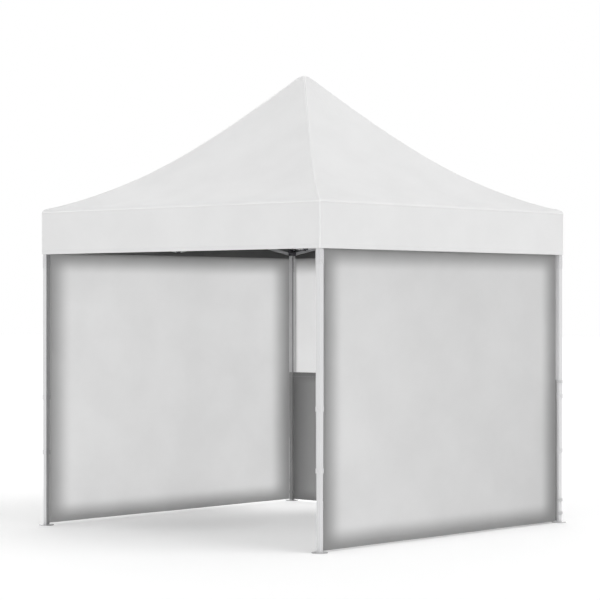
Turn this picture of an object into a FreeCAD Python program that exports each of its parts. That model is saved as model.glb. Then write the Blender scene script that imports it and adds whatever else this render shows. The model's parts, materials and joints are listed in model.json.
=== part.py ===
import FreeCAD, Part
import math
import os
import Sketcher
from FreeCAD import Matrix, Placement, Rotation, Vector

# Pop up gazebo, in millimetres. Origin on the ground under the peak, +Z up.
# South is at -Y and east at +X. The frame stands open, on four telescopic legs joined by
# scissor trusses, with a scissor pair from each side's middle to the hubs on the peak pole.
# Whatever repeats is built on the south side or its south east leg, then turned about Z.

SIDES = ("south", "east", "north", "west")
LEGS = ("se", "ne", "nw", "sw")

# ---------------------------------------------------------------- dimensions
DIMENSIONS = {
    # layout of the scissor frame
    "leg_at": 1447.0,            # leg centre from the middle, along X and along Y
    "truss_inset": 10.0,         # the side trusses stand this far inside the leg centres
    "truss_at": "=leg_at - truss_inset",
    "leg_arm": 44.0,             # leg centre to the pivot of a side bar
    "mid_arm": 22.0,             # middle of a side to the pivot of a side bar
    "mid_reach": 27.0,           # side truss plane to the pivot of a centre bar
    "hub_arm": 29.0,             # pole centre to the pivot of a centre bar
    "upper_level": 2450.0,       # height of the upper pivots
    "lower_level": 2195.0,       # height of the lower pivots
    # scissor bars
    "bar_span": "=sqrt((leg_at - leg_arm - mid_arm)^2 + (upper_level - lower_level)^2)",
    "bar_depth": 24.0,
    "bar_thick": 12.0,
    "bar_skin": 1.5,
    "layer_step": 7.0,           # truss plane to the middle of a bar
    "pivot_hole": 8.2,
    # bolts, with their shank lengths through a cheek and through a plate
    "bolt_shank": 8.0,
    "bolt_head": 14.0,
    "bolt_head_thick": 2.5,
    "cheek_bolt": 26.5,
    "plate_bolt": 24.0,
    # plates and cheeks that carry the pivots
    "plate_gap": 1.0,            # plane between the two bars of a pair to the face of a plate
    "plate_high": 26.0,
    "plate_end": 13.0,           # pivot to the end of its plate
    "plate_thick": 6.0,
    "cheek_thick": 9.0,
    "cheek_half": 36.0,
    # cutting tools
    "drill_start": 12.0,
    "drill_length": 20.0,
    "overcut": 10.0,             # how far a cutting tool runs past the solid
    "slide_gap": 0.3,            # clearance round a sliding tube
    # leg tubes
    "upper_tube_side": 40.0,
    "middle_tube_side": 37.0,
    "lower_tube_side": 34.0,
    "tube_skin": 1.2,
    "tube_round": 2.5,
    "upper_tube_foot": 1000.0,
    "upper_tube_top": 2465.0,
    "middle_tube_foot": 565.0,
    "middle_tube_top": 1150.0,
    "lower_tube_foot": 6.0,
    "lower_tube_top": 700.0,
    # collars at the feet of the upper and middle tubes, and their buttons
    "upper_collar_half": 21.5,
    "middle_collar_half": 21.0,
    "collar_drop": 4.0,
    "collar_rise": 30.0,
    "upper_button_radius": 7.0,
    "middle_button_radius": 6.0,
    "button_thick": 4.0,
    "button_rise": 14.0,
    # leg head and slider
    "bracket_side": 45.0,
    "head_foot": 2420.0,
    "head_top": 2472.0,
    "slider_drop": 14.0,
    "slider_rise": 46.0,
    "slider_bore": "=upper_tube_side + 2 * slide_gap",
    # pull pin and its boss; "sunk" is the start inside the slider's west face
    "pin_aside": 16.0,
    "pin_rise": 33.0,
    "boss_radius": 6.0,
    "boss_length": 12.0,
    "boss_sunk": 1.5,
    "stem_radius": 3.0,
    "stem_length": 22.0,
    "stem_sunk": 1.9,
    "pin_gap": 0.1,
    "pin_bore_length": 30.0,
    "pin_bore_sunk": 6.0,
    "knob_radius": 6.0,
    "knob_length": 11.0,
    "knob_out": 11.0,
    # foot
    "foot_radius": 58.0,
    "foot_thick": 6.0,
    "peg_hole_radius": 5.5,
    "peg_hole_at": 43.0,         # leg centre to a peg hole, on the diagonal
    # peak pole and hubs
    "pole_radius": 11.0,
    "pole_top": 3550.0,
    "cap_radius": "=pole_radius",
    "socket_gap": 0.1,
    "socket_length": 40.0,
    "hub_radius": 15.0,
    "hub_half": 20.0,
    "hub_skirt": 45.0,
    "hub_plate_start": 12.5,
    # canopy
    "cloth": 1.2,
    "eave_at": 1473.0,
    "eave_level": 2477.0,
    "valance_foot": 2145.0,
    # walls
    "wall_cloth": 1.5,
    "wall_foot": 15.0,
    "wall_top": 2400.0,
    "wall_half": 1423.5,
    "south_wall_short": 38.0,    # the south wall stops this much short at its east end
    "wall_line": 1457.0,
    "notch_width": 4.0,
    "notch_drop": 5.0,           # valance foot to the foot of a notch
    # half height wall and its straps
    "half_wall_top": 1145.0,
    "half_wall_inset": 24.0,
    "strap_gap": 0.5,
    "strap_skin": 1.5,
    "strap_high": 25.0,
    "strap_drop": 28.0,          # top of the half wall to the foot of an upper strap
    "middle_strap_level": 167.0,
    "lower_strap_level": 62.0,
    "tab_reach": 25.0,
}

# Outer face of the canopy: (distance from the middle, height).
# The ridges sag between the peak and the corners.
ROOF = [
    (0.0, 3572.0), (22.0, 3565.0), (50.0, 3541.0), (100.0, 3489.0), (200.0, 3387.0),
    (300.0, 3287.0), (400.0, 3189.0), (500.0, 3096.0), (600.0, 3007.0), (700.0, 2923.0),
    (800.0, 2846.0), (900.0, 2776.0), (1000.0, 2714.0), (1100.0, 2658.0), (1200.0, 2607.0),
    (1300.0, 2562.0), (1380.0, 2530.0), (1440.0, 2507.0),
]
# The last bend before the eave, on each face of the cloth, in the same columns.
EAVE_BEND_OUTER = (1466.0, 2494.0)
EAVE_BEND_INNER = (1465.1, 2493.0)

doc = FreeCAD.newDocument("gazebo")
sheet = doc.addObject("Spreadsheet::Sheet", "dims")
for row, (alias, content) in enumerate(DIMENSIONS.items(), 1):
    sheet.set(f"A{row}", alias)
    sheet.set(f"B{row}", str(content))
    sheet.setAlias(f"B{row}", alias)
doc.recompute()
dim = {alias: float(sheet.get(alias)) for alias in DIMENSIONS}

parts = []          # the objects that become files


# ---------------------------------------------------------------- helpers
def sheet_text(text):
    """The text with dims. put before each alias named in it."""
    out = ""
    word = ""
    for char in text + " ":
        if char.isalpha() or char == "_":
            word += char
        else:
            out += ("dims." + word if word in dim else word) + char
            word = ""
    return out.strip()


def bind(obj, prop, text):
    obj.setExpression(prop, sheet_text(text))


def place(obj, at):
    for axis, text in zip("xyz", at):
        bind(obj, "Placement.Base." + axis, text)


def box(name, x, y, z):
    """A box; x, y and z are each a (low, high) pair of expressions."""
    shape = doc.addObject("Part::Box", name)
    for prop, (low, high) in zip(("Length", "Width", "Height"), (x, y, z)):
        bind(shape, prop, f"({high}) - ({low})")
    place(shape, (x[0], y[0], z[0]))
    return shape


def post(name, half, bottom, top, x="leg_at"):
    """A square upright block centred on the leg, half its side given."""
    return box(name, (f"{x} - ({half})", f"{x} + ({half})"),
               (f"-leg_at - ({half})", f"-leg_at + ({half})"), (bottom, top))


WAYS = {
    "+x": Rotation(Vector(0, 0, 1), Vector(1, 0, 0)),
    "-x": Rotation(Vector(0, 0, 1), Vector(-1, 0, 0)),
    "+y": Rotation(Vector(0, 0, 1), Vector(0, 1, 0)),
    "-y": Rotation(Vector(0, 0, 1), Vector(0, -1, 0)),
    "+z": Rotation(),
}
OPPOSITE = {"+": "-", "-": "+"}


def rod(name, radius, length, at, way):
    """A cylinder from at, running along way."""
    shape = doc.addObject("Part::Cylinder", name)
    shape.Placement = Placement(Vector(), WAYS[way])
    bind(shape, "Radius", radius)
    bind(shape, "Height", length)
    place(shape, at)
    return shape


def fuse(name, shapes):
    shape = doc.addObject("Part::MultiFuse", name)
    shape.Shapes = shapes
    shape.Refine = True
    return shape


def cut(name, base, tool):
    shape = doc.addObject("Part::Cut", name)
    shape.Base = base
    shape.Tool = tool
    return shape


def quarter_turns(count):
    return Placement(Vector(), Rotation(Vector(0, 0, 1), 90 * count))


def compound(name, shapes, quarter):
    group = doc.addObject("Part::Compound", name)
    group.Links = shapes
    group.Placement = quarter_turns(quarter)
    return group


def node(label, solids, quarter=0):
    """A piece of one or more solids, turned about Z by quarter turns."""
    group = compound("node_" + label, solids, quarter)
    group.Label = label
    parts.append(group)


# ---------------------------------------------------------------- plates and pivots
def plate_span(plane, side, thick):
    """Low and high faces of a plate lying on the + or - side of a plane."""
    if side == "+":
        return f"{plane} + plate_gap", f"{plane} + plate_gap + {thick}"
    return f"{plane} - plate_gap - {thick}", f"{plane} - plate_gap"


def plate_height(level):
    return f"{level} - plate_high / 2", f"{level} + plate_high / 2"


def shifted(at, axis, text):
    moved = list(at)
    index = "xyz".index(axis)
    moved[index] = f"({at[index]}) {text}"
    return moved


def bolt(name, at, way, shank):
    """A pivot bolt: a shank from at along way, and a flat head at its far end."""
    head_at = shifted(at, way[1], f"{way[0]} ({shank} - bolt_head_thick)")
    return fuse(name, [
        rod(name + "_shank", "bolt_shank / 2", shank, at, way),
        rod(name + "_head", "bolt_head / 2", "bolt_head_thick", head_at, way),
    ])


def pivot(name, tag, at, axis, side, kind):
    """The bolt and the hole cutter of a pivot.

    The plate lies on the given side of at, and is a cheek or a plate by kind.
    The bolt starts at the plate's far face and crosses to the bar."""
    way = OPPOSITE[side] + axis
    bolt_at = shifted(at, axis, f"{side} (plate_gap + {kind}_thick)")
    hole_at = shifted(at, axis, f"{side} drill_start")
    return (bolt(f"{name}_bolt_{tag}", bolt_at, way, kind + "_bolt"),
            rod(f"{name}_hole_{tag}", "bolt_shank / 2", "drill_length", hole_at, way))


# ---------------------------------------------------------------- sketches
def sketch(body, name, role, lift=None):
    """A sketch on one of the body's origin planes."""
    drawn = body.newObject("Sketcher::SketchObject", name)
    plane = [item for item in body.Origin.OriginFeatures if item.Role == role][0]
    drawn.AttachmentSupport = [(plane, "")]
    drawn.MapMode = "FlatFace"
    if lift:
        bind(drawn, "AttachmentOffset.Base.z", lift)
    return drawn


def constrain(drawn, *args):
    return drawn.addConstraint(Sketcher.Constraint(*args))


def drive(drawn, text, *args):
    """Add a dimension that follows the sheet."""
    index = constrain(drawn, *args)
    bind(drawn, f"Constraints[{index}]", text)


def rectangle(drawn, width, height):
    """A rectangle centred on the sketch's origin; its first size is only a start."""
    corners = [Vector(-5, -4, 0), Vector(5, -4, 0), Vector(5, 4, 0), Vector(-5, 4, 0)]
    lines = [drawn.addGeometry(Part.LineSegment(corners[i], corners[(i + 1) % 4]), False)
             for i in range(4)]
    for i in range(4):
        constrain(drawn, "Coincident", lines[i], 2, lines[(i + 1) % 4], 1)
    for i, kind in ((0, "Horizontal"), (2, "Horizontal"), (1, "Vertical"), (3, "Vertical")):
        constrain(drawn, kind, lines[i])
    constrain(drawn, "Symmetric", lines[0], 1, lines[2], 1, -1, 1)
    drive(drawn, width, "DistanceX", lines[0], 1, lines[0], 2, 10)
    drive(drawn, height, "DistanceY", lines[1], 1, lines[1], 2, 8)


# ---------------------------------------------------------------- scissor bars
def bar_outline(drawn):
    """A slot from the origin along X, round at both ends about the pivots."""
    radius = dim["bar_depth"] / 2
    span = dim["bar_span"]
    start_circle = Part.Circle(Vector(0, 0, 0), Vector(0, 0, 1), radius)
    end_circle = Part.Circle(Vector(span, 0, 0), Vector(0, 0, 1), radius)
    quarter = math.pi / 2
    top, low, start, end = [drawn.addGeometry(curve, False) for curve in (
        Part.LineSegment(Vector(0, radius, 0), Vector(span, radius, 0)),
        Part.LineSegment(Vector(0, -radius, 0), Vector(span, -radius, 0)),
        Part.ArcOfCircle(start_circle, quarter, 3 * quarter),
        Part.ArcOfCircle(end_circle, -quarter, quarter),
    )]
    constrain(drawn, "Tangent", start, 1, top, 1)
    constrain(drawn, "Tangent", start, 2, low, 1)
    constrain(drawn, "Tangent", end, 1, low, 2)
    constrain(drawn, "Tangent", end, 2, top, 2)
    constrain(drawn, "Coincident", start, 3, -1, 1)
    constrain(drawn, "PointOnObject", end, 3, -1)
    drive(drawn, "bar_span", "DistanceX", start, 3, end, 3, span)
    drive(drawn, "bar_depth / 2", "Radius", start, radius)


def bar_holes(drawn):
    """Pivot holes at both ends and in the middle."""
    radius = dim["pivot_hole"] / 2
    for share in (0.0, 0.5, 1.0):
        along = dim["bar_span"] * share
        circle = Part.Circle(Vector(along, 0, 0), Vector(0, 0, 1), radius)
        hole = drawn.addGeometry(circle, False)
        if share == 0:
            constrain(drawn, "Coincident", hole, 3, -1, 1)
        else:
            constrain(drawn, "PointOnObject", hole, 3, -1)
            drive(drawn, f"bar_span * {share}", "DistanceX", -1, 1, hole, 3, along)
        drive(drawn, "pivot_hole / 2", "Radius", hole, radius)


def bar(label, start, end, across, quarter):
    """A hollow bar from pivot start to pivot end, its thickness along across.

    In the bar's own frame X runs along it, Y is its thickness and Z its depth."""
    body = doc.addObject("PartDesign::Body", "body_" + label)
    body.Label = label
    outline = sketch(body, label + "_outline", "XZ_Plane")
    bar_outline(outline)
    blank = body.newObject("PartDesign::Pad", label + "_blank")
    blank.Profile = outline
    blank.SideType = "Symmetric"
    bind(blank, "Length", "bar_thick")

    # the hollow, open at both ends
    hollow = sketch(body, label + "_hollow", "YZ_Plane", "-bar_depth")
    rectangle(hollow, "bar_thick - 2 * bar_skin", "bar_depth - 2 * bar_skin")
    bore = body.newObject("PartDesign::Pocket", label + "_bore")
    bore.Profile = hollow
    bore.Reversed = True
    bind(bore, "Length", "bar_span + 2 * bar_depth")

    circles = sketch(body, label + "_holes", "XZ_Plane")
    bar_holes(circles)
    pivots = body.newObject("PartDesign::Pocket", label + "_pivots")
    pivots.Profile = circles
    pivots.SideType = "Symmetric"
    bind(pivots, "Length", "bar_thick + overcut")
    body.Tip = pivots

    along = (end - start).normalize()
    deep = along.cross(across)
    frame = Matrix(along.x, across.x, deep.x, start.x,
                   along.y, across.y, deep.y, start.y,
                   along.z, across.z, deep.z, start.z,
                   0, 0, 0, 1)
    body.Placement = quarter_turns(quarter).multiply(Placement(frame))
    parts.append(body)


def scissor_bars(side, quarter):
    """The centre pair, and the two pairs of the side truss."""
    high, low = dim["upper_level"], dim["lower_level"]
    step, mid_arm = dim["layer_step"], dim["mid_arm"]
    hub_y = -dim["hub_arm"]
    mid_y = -(dim["truss_at"] - dim["mid_reach"])
    # bar 1 falls outwards from the upper hub, bar 2 rises outwards from the lower hub
    bar(side + "_centre_bar_1", Vector(-step, hub_y, high), Vector(-step, mid_y, low),
        Vector(1, 0, 0), quarter)
    bar(side + "_centre_bar_2", Vector(step, hub_y, low), Vector(step, mid_y, high),
        Vector(1, 0, 0), quarter)

    # bars 1 and 2 go to this side's own leg, bars 3 and 4 to the leg at its other end
    far = dim["leg_at"] - dim["leg_arm"]
    outer_y = -(dim["truss_at"] + step)
    inner_y = -(dim["truss_at"] - step)
    for first, sign in ((1, 1), (3, -1)):
        across = Vector(0, sign, 0)
        bar(f"{side}_truss_bar_{first}", Vector(sign * mid_arm, outer_y, high),
            Vector(sign * far, outer_y, low), across, quarter)
        bar(f"{side}_truss_bar_{first + 1}", Vector(sign * mid_arm, inner_y, low),
            Vector(sign * far, inner_y, high), across, quarter)


# ---------------------------------------------------------------- joiners
def joiner(name, level, cheek_side, quarter):
    """The T plate at the middle of a side: a cheek along the truss and a tongue inwards."""
    tongue_side = OPPOSITE[cheek_side]
    cheek = plate_span("-truss_at", cheek_side, "cheek_thick")
    blank = fuse(name + "_blank", [
        box(name + "_cheek", ("-cheek_half", "cheek_half"), cheek, plate_height(level)),
        box(name + "_tongue", plate_span("0", tongue_side, "plate_thick"),
            (cheek[0], "-truss_at + mid_reach + plate_end"), plate_height(level)),
    ])
    bolts, holes = zip(
        pivot(name, "a", ("mid_arm", "-truss_at", level), "y", cheek_side, "cheek"),
        pivot(name, "b", ("-mid_arm", "-truss_at", level), "y", cheek_side, "cheek"),
        pivot(name, "c", ("0", "-truss_at + mid_reach", level), "x", tongue_side, "plate"),
    )
    plate = cut(name + "_plate", blank, fuse(name + "_holes", list(holes)))
    node(name, [plate, *bolts], quarter)


# ---------------------------------------------------------------- legs
def tube(name, size):
    """A square leg tube with rounded outer edges; size is upper, middle or lower."""
    side = size + "_tube_side"
    length = f"{size}_tube_top - {size}_tube_foot"
    body = doc.addObject("PartDesign::Body", name)
    section = sketch(body, name + "_section", "XY_Plane")
    rectangle(section, side, side)
    blank = body.newObject("PartDesign::Pad", name + "_blank")
    blank.Profile = section
    bind(blank, "Length", length)
    # the edges can only be picked once the blank has its shape
    doc.recompute()
    upright = [f"Edge{i}" for i, edge in enumerate(blank.Shape.Edges, 1)
               if abs(abs(edge.tangentAt(edge.FirstParameter).z) - 1) < 1e-6]
    corners = body.newObject("PartDesign::Fillet", name + "_corners")
    corners.Base = (blank, upright)
    bind(corners, "Radius", "tube_round")
    doc.recompute()
    hollow = sketch(body, name + "_hollow", "XY_Plane")
    rectangle(hollow, side + " - 2 * tube_skin", side + " - 2 * tube_skin")
    bore = body.newObject("PartDesign::Pocket", name + "_bore")
    bore.Profile = hollow
    bore.Reversed = True
    bind(bore, "Length", length)
    body.Tip = bore
    place(body, ("leg_at", "-leg_at", size + "_tube_foot"))
    return body


def collar(name, size, inner_size):
    """The collar round a tube's foot, its mouth fitting the next tube, and its button."""
    half = size + "_collar_half"
    foot = size + "_tube_foot"
    block = post(name + "_collar_block", half, foot + " - collar_drop", foot + " + collar_rise")
    cuts = fuse(name + "_collar_cuts", [
        post(name + "_collar_seat", size + "_tube_side / 2",
             foot, foot + " + collar_rise + overcut"),
        post(name + "_collar_mouth", inner_size + "_tube_side / 2 + slide_gap",
             foot + " - overcut", foot + " + overcut"),
    ])
    button = rod(name + "_button", size + "_button_radius", "button_thick",
                 ("leg_at", "-leg_at - " + half, foot + " + button_rise"), "-y")
    return [cut(name + "_collar", block, cuts), button]


def lugs(name, level, south_side):
    """The two lugs of a leg bracket, with their bolts and hole cutters.

    south_side is the side of the south truss plane that its lug lies on."""
    east_side = OPPOSITE[south_side]
    boxes = [
        box(name + "_lug_s", ("leg_at - leg_arm - plate_end", "leg_at - bracket_side / 2"),
            plate_span("-truss_at", south_side, "cheek_thick"), plate_height(level)),
        box(name + "_lug_e", plate_span("truss_at", east_side, "cheek_thick"),
            ("-leg_at + bracket_side / 2", "-leg_at + leg_arm + plate_end"),
            plate_height(level)),
    ]
    bolts, holes = zip(
        pivot(name, "s", ("leg_at - leg_arm", "-truss_at", level), "y", south_side, "cheek"),
        pivot(name, "e", ("truss_at", "-leg_at + leg_arm", level), "x", east_side, "cheek"),
    )
    return boxes, bolts, holes


def upper_tube(name, quarter):
    """The upper tube with its collar, and the head that carries the upper pivots."""
    pipe = tube(name + "_pipe", "upper")
    boxes, bolts, holes = lugs(name + "_head", "upper_level", "-")
    block = post(name + "_head_block", "bracket_side / 2", "head_foot", "head_top")
    pocket = post(name + "_head_pocket", "upper_tube_side / 2",
                  "head_foot - overcut", "upper_tube_top")
    head = cut(name + "_head", fuse(name + "_head_blank", [block, *boxes]),
               fuse(name + "_head_cuts", [pocket, *holes]))
    node(name, [pipe, head, *collar(name, "upper", "middle"), *bolts], quarter)


def middle_tube(name, quarter):
    pipe = tube(name + "_pipe", "middle")
    node(name, [pipe, *collar(name, "middle", "lower")], quarter)


def lower_tube(name, quarter):
    """The lower tube on its round foot, with two peg holes on the diagonal."""
    pipe = tube(name + "_pipe", "lower")
    disc = rod(name + "_foot_disc", "foot_radius", "foot_thick", ("leg_at", "-leg_at", "0"), "+z")
    holes = [
        rod(f"{name}_foot_hole_{tag}", "peg_hole_radius", "foot_thick + 2 * overcut",
            (f"leg_at {out} peg_hole_at / sqrt(2)",
             f"-leg_at {OPPOSITE[out]} peg_hole_at / sqrt(2)", "-overcut"), "+z")
        for tag, out in (("a", "+"), ("b", "-"))
    ]
    foot = cut(name + "_foot", disc, fuse(name + "_foot_holes", holes))
    node(name, [pipe, foot], quarter)


def pin_rod(name, radius, length, sunk):
    """A rod on the pull pin's line, starting sunk inside the slider's west face."""
    at = (f"leg_at - bracket_side / 2 + ({sunk})", "-leg_at + pin_aside",
          "lower_level + pin_rise")
    return rod(name, radius, length, at, "-x")


def slider(name, quarter):
    """The bracket that slides on the upper tube and carries the lower pivots."""
    boxes, bolts, holes = lugs(name, "lower_level", "+")
    bottom, top = "lower_level - slider_drop", "lower_level + slider_rise"
    blank = fuse(name + "_blank", [
        post(name + "_block", "bracket_side / 2", bottom, top),
        *boxes,
        pin_rod(name + "_boss", "boss_radius", "boss_length", "boss_sunk"),
    ])
    cuts = fuse(name + "_cuts", [
        post(name + "_bore", "slider_bore / 2", bottom + " - overcut", top + " + overcut"),
        *holes,
        pin_rod(name + "_pin_bore", "stem_radius + pin_gap", "pin_bore_length",
                "pin_bore_sunk"),
    ])
    node(name, [cut(name + "_bracket", blank, cuts), *bolts], quarter)


def pull_pin(name, quarter):
    pin = fuse(name + "_shape", [
        pin_rod(name + "_stem", "stem_radius", "stem_length", "stem_sunk"),
        pin_rod(name + "_knob", "knob_radius", "knob_length", "-knob_out"),
    ])
    node(name, [pin], quarter)


# ---------------------------------------------------------------- hubs and peak pole
def hub(name, level, plate_side, skirt, bore_radius):
    """A sleeve round the pole with a plate and a pivot bolt towards each side."""
    length = f"2 * hub_half + {skirt}"
    bottom = f"{level} - hub_half - {skirt}"
    solids = [rod(name + "_sleeve", "hub_radius", length, ("0", "0", bottom), "+z")]
    cuts = [rod(name + "_bore", bore_radius, length + " + 2 * overcut",
                ("0", "0", bottom + " - overcut"), "+z")]
    bolts = []
    for quarter, side in enumerate(SIDES):
        plate = box(f"{name}_plate_{side}", plate_span("0", plate_side, "plate_thick"),
                    ("-hub_arm - plate_end", "-hub_plate_start"), plate_height(level))
        pin, hole = pivot(name, side, ("0", "-hub_arm", level), "x", plate_side, "plate")
        for group, shape in ((solids, plate), (cuts, hole), (bolts, pin)):
            group.append(compound(shape.Name + "_turned", [shape], quarter))
    casting = cut(name + "_casting", fuse(name + "_blank", solids), fuse(name + "_cuts", cuts))
    node(name, [casting, *bolts])


def peak_pole():
    """The pole, standing in the lower hub, with a domed cap."""
    outside = rod("pole_outside", "pole_radius", "pole_top - lower_level + hub_half",
                  ("0", "0", "lower_level - hub_half"), "+z")
    inside = rod("pole_inside", "pole_radius - tube_skin",
                 "pole_top - lower_level + 2 * hub_half",
                 ("0", "0", "lower_level - 2 * hub_half"), "+z")
    pole = cut("pole_pipe", outside, inside)
    dome = doc.addObject("Part::Sphere", "cap_ball")
    bind(dome, "Radius", "cap_radius")
    dome.Angle1 = 0
    bind(dome, "Placement.Base.z", "pole_top")
    socket = rod("cap_socket", "pole_radius - tube_skin - socket_gap", "socket_length",
                 ("0", "0", "pole_top - socket_length"), "+z")
    node("peak_pole", [pole, fuse("pole_cap", [dome, socket])])


# ---------------------------------------------------------------- canopy
def profile_edge(stations):
    """A smooth curve through (distance from the middle, height) stations, towards -Y."""
    curve = Part.BSplineCurve()
    curve.interpolate([Vector(0, -out, z) for out, z in stations])
    return curve.toShape()


def roof_panel():
    """The south roof panel: a sheet with the ridge profile, mitred on the diagonals."""
    cloth, eave, eave_z = dim["cloth"], dim["eave_at"], dim["eave_level"]
    outer = ROOF + [EAVE_BEND_OUTER, (eave, eave_z)]
    inner = [(out, z - cloth) for out, z in ROOF] + [EAVE_BEND_INNER, (eave - cloth, eave_z)]
    peak_z = ROOF[0][1]
    face = Part.Face(Part.Wire([
        profile_edge(outer),
        Part.makeLine(Vector(0, -eave, eave_z), Vector(0, -eave + cloth, eave_z)),
        profile_edge(inner),
        Part.makeLine(Vector(0, 0, peak_z - cloth), Vector(0, 0, peak_z)),
    ]))
    reach = eave + dim["overcut"]
    slab = face.extrude(Vector(2 * reach, 0, 0))
    slab.translate(Vector(-reach, 0, 0))

    # the wedge stands clear of the panel below, above and beyond the eave
    wedge_foot, wedge_high = 2000, 2000
    wedge_reach = eave + 5
    middle = Vector(0, 0, wedge_foot)
    triangle = Part.makePolygon([
        middle,
        Vector(-wedge_reach, -wedge_reach, wedge_foot),
        Vector(wedge_reach, -wedge_reach, wedge_foot),
        middle,
    ])
    wedge = Part.Face(triangle).extrude(Vector(0, 0, wedge_high))
    return slab.common(wedge).Solids[0]


def valance_panel():
    """The hanging border below the south eave, mitred at the corners."""
    outer, foot = dim["eave_at"], dim["valance_foot"]
    inner = outer - dim["cloth"]
    corners = [Vector(-outer, -outer, foot), Vector(outer, -outer, foot),
               Vector(inner, -inner, foot), Vector(-inner, -inner, foot)]
    face = Part.Face(Part.makePolygon(corners + corners[:1]))
    return face.extrude(Vector(0, 0, dim["eave_level"] - foot))


def canopy():
    panels = []
    for quarter in range(4):
        for make in (roof_panel, valance_panel):
            panel = make()
            panel.rotate(Vector(), Vector(0, 0, 1), 90 * quarter)
            panels.append(panel)
    feature = doc.addObject("Part::Feature", "node_canopy")
    feature.Label = "canopy"
    feature.Shape = Part.makeCompound(panels)
    parts.append(feature)


# ---------------------------------------------------------------- walls
def wall(name, far_edge, quarter):
    """A full height wall, notched at both ends from its top to just below the valance."""
    blank = box(name + "_sheet", ("-wall_half", far_edge),
                ("-wall_line - wall_cloth", "-wall_line"), ("wall_foot", "wall_top"))
    across = ("-wall_line - overcut", "-wall_line + overcut")
    height = ("valance_foot - notch_drop", "wall_top + overcut")
    notches = fuse(name + "_notches", [
        box(name + "_notch_a", ("wall_half - notch_width", "wall_half + overcut"),
            across, height),
        box(name + "_notch_b", ("-wall_half - overcut", "-wall_half + notch_width"),
            across, height),
    ])
    node(name, [cut(name + "_panel", blank, notches)], quarter)


def strap(name, centre, level, tube_side):
    """A square ring round a leg tube, with a tab that reaches the half wall."""
    inner = tube_side + " / 2 + strap_gap"
    top = level + " + strap_high"
    ring = cut(name + "_ring",
               post(name + "_out", inner + " + strap_skin", level, top, centre),
               post(name + "_in", inner, level + " - overcut", top + " + overcut", centre))
    if centre == "leg_at":
        tab_x = ("leg_at - tab_reach", f"leg_at - ({inner}) - strap_skin / 2")
    else:
        tab_x = (f"-leg_at + ({inner}) + strap_skin / 2", "-leg_at + tab_reach")
    tab = box(name + "_tab", tab_x, ("-leg_at", "-leg_at + wall_cloth"), (level, top))
    return fuse(name, [ring, tab])


def half_wall(name, quarter):
    """A half height wall hung between two legs by three straps at each end."""
    solids = [box(name + "_sheet", ("-leg_at + half_wall_inset", "leg_at - half_wall_inset"),
                  ("-leg_at", "-leg_at + wall_cloth"), ("wall_foot", "half_wall_top"))]
    straps = (("half_wall_top - strap_drop", "upper_tube_side"),
              ("middle_strap_level", "lower_tube_side"),
              ("lower_strap_level", "lower_tube_side"))
    for end, centre in (("a", "leg_at"), ("b", "-leg_at")):
        for i, (level, tube_side) in enumerate(straps):
            solids.append(strap(f"{name}_strap_{end}{i}", centre, level, tube_side))
    node(name, [fuse(name + "_shape", solids)], quarter)


# ---------------------------------------------------------------- build
for quarter, (side, leg) in enumerate(zip(SIDES, LEGS)):
    scissor_bars(side, quarter)
    joiner(side + "_upper_joiner", "upper_level", "+", quarter)
    joiner(side + "_lower_joiner", "lower_level", "-", quarter)
    upper_tube(f"leg_{leg}_upper_tube", quarter)
    middle_tube(f"leg_{leg}_middle_tube", quarter)
    lower_tube(f"leg_{leg}_lower_tube", quarter)
    slider(f"leg_{leg}_slider", quarter)
    pull_pin(f"leg_{leg}_pull_pin", quarter)

# the upper sleeve runs further down, so that the pole stays in it when the frame is shut
hub("upper_hub", "upper_level", "+", skirt="hub_skirt", bore_radius="pole_radius + slide_gap")
hub("lower_hub", "lower_level", "-", skirt="0", bore_radius="pole_radius")
peak_pole()
canopy()
wall("wall_south", "wall_half - south_wall_short", 0)
wall("wall_east", "wall_half", 1)
wall("wall_north", "wall_half", 2)
half_wall("half_wall_east", 1)

# ---------------------------------------------------------------- check and write
doc.recompute()
bad = [obj.Name for obj in doc.Objects if "Invalid" in obj.State or "Error" in obj.State]
if bad:
    raise RuntimeError("objects in error: " + ", ".join(bad))

# a bar that has lost its hollow and holes keeps well under half of its solid volume
slot_area = dim["bar_span"] * dim["bar_depth"] + math.pi * dim["bar_depth"] ** 2 / 4
full = slot_area * dim["bar_thick"]
for part in parts:
    shape = part.Shape
    if shape.isNull() or not shape.isValid() or not shape.Solids:
        raise RuntimeError("bad shape: " + part.Label)
    if any(solid.Volume <= 0 for solid in shape.Solids):
        raise RuntimeError("inside-out solid: " + part.Label)
    if "_bar_" in part.Label and not 0.2 * full < shape.Volume < 0.5 * full:
        raise RuntimeError("bar not hollow: " + part.Label)

os.makedirs("parts", exist_ok=True)
for part in parts:
    part.Shape.exportStep(f"parts/{part.Label}.step")
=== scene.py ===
import json
import math

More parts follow.
